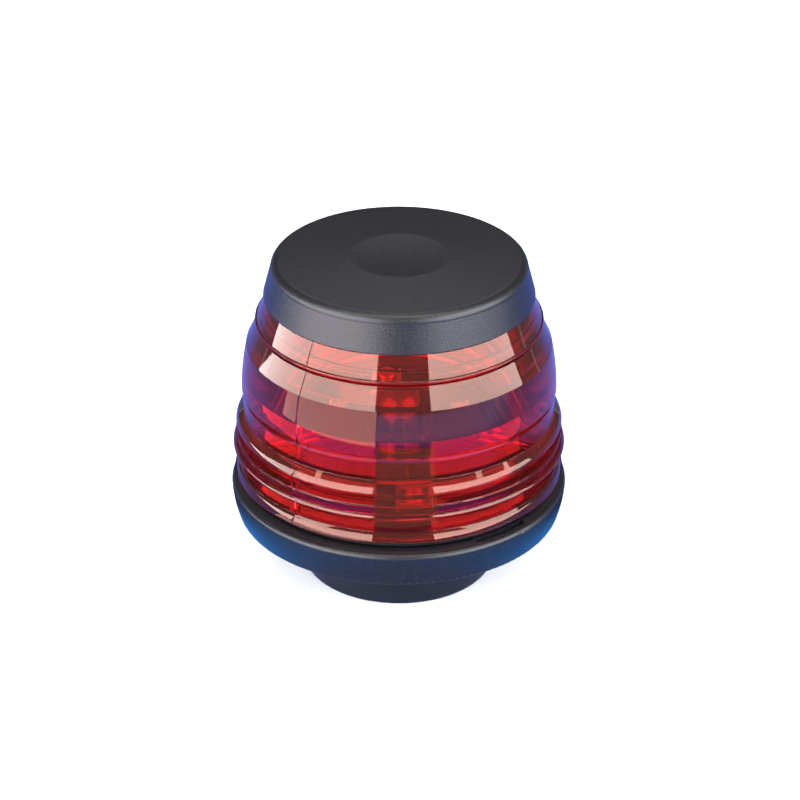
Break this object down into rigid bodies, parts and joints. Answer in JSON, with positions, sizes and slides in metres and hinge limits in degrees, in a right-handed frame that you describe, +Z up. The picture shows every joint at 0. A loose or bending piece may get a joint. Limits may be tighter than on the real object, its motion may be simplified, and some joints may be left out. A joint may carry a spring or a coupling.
{
  "type": "navigation light",
  "caption": "All-round boat navigation light: a red ringed lens with a black cap screws into a round black base that holds a wedge bulb on a raised carrier.",
  "frame": {"origin": "centre of the foot's bottom face, on the axis of the light", "axes": "+Z up along the axis of the light, -Y the front"},
  "size_m": [0.068, 0.068, 0.0691],
  "materials": {
    "black_abs": "fine moulded grain",
    "red_polycarbonate": "polished, transparent",
    "black_rubber": "smooth",
    "socket_pbt": "moulded",
    "brass": "rolled, bright",
    "zinc_steel": "zinc plated",
    "aluminium_sheet": "bright rolled",
    "bulb_glass": "clear",
    "nickel_wire": "drawn",
    "tungsten": "drawn"
  },
  "bodies": {
    "base": {"base_housing": "black_abs", "foot_seal": "black_rubber", "cable_grommet": "black_rubber", "lamp_carrier": "black_abs", "carrier_screws": "zinc_steel", "socket_body": "socket_pbt", "contact_right": "brass", "contact_left": "brass", "terminal_right": "brass", "terminal_left": "brass", "clamp_washers": "zinc_steel", "terminal_screws": "zinc_steel", "contact_rivets": "brass"},
    "seal_ring": {"lens_seal": "black_rubber"},
    "lens_unit": {"lens": "red_polycarbonate", "cap": "black_abs", "cap_gasket": "black_rubber", "heat_shield": "aluminium_sheet", "cap_screws": "zinc_steel"},
    "bulb": {"bulb_envelope": "bulb_glass", "bulb_lead_right": "nickel_wire", "bulb_lead_left": "nickel_wire", "bulb_filament": "tungsten", "bulb_bead": "bulb_glass"}
  },
  "joints": [
    {"name": "lens_rise", "type": "slide", "parent": "base", "child": "seal_ring", "axis": [0, 0, 1], "range_m": [0, 0.0045]},
    {"name": "lens_turn", "type": "hinge", "parent": "seal_ring", "child": "lens_unit", "pos_m": [0, 0, 0.0204], "axis": [0, 0, 1], "range_deg": [0, 540]},
    {"name": "bulb_pull", "type": "slide", "parent": "base", "child": "bulb", "axis": [0, 0, 1], "range_m": [0, 0.0095]}
  ],
  "couplings": [
    {"joint": "lens_rise", "follows": "lens_turn", "m_per_rad": 0.00047746}
  ]
}
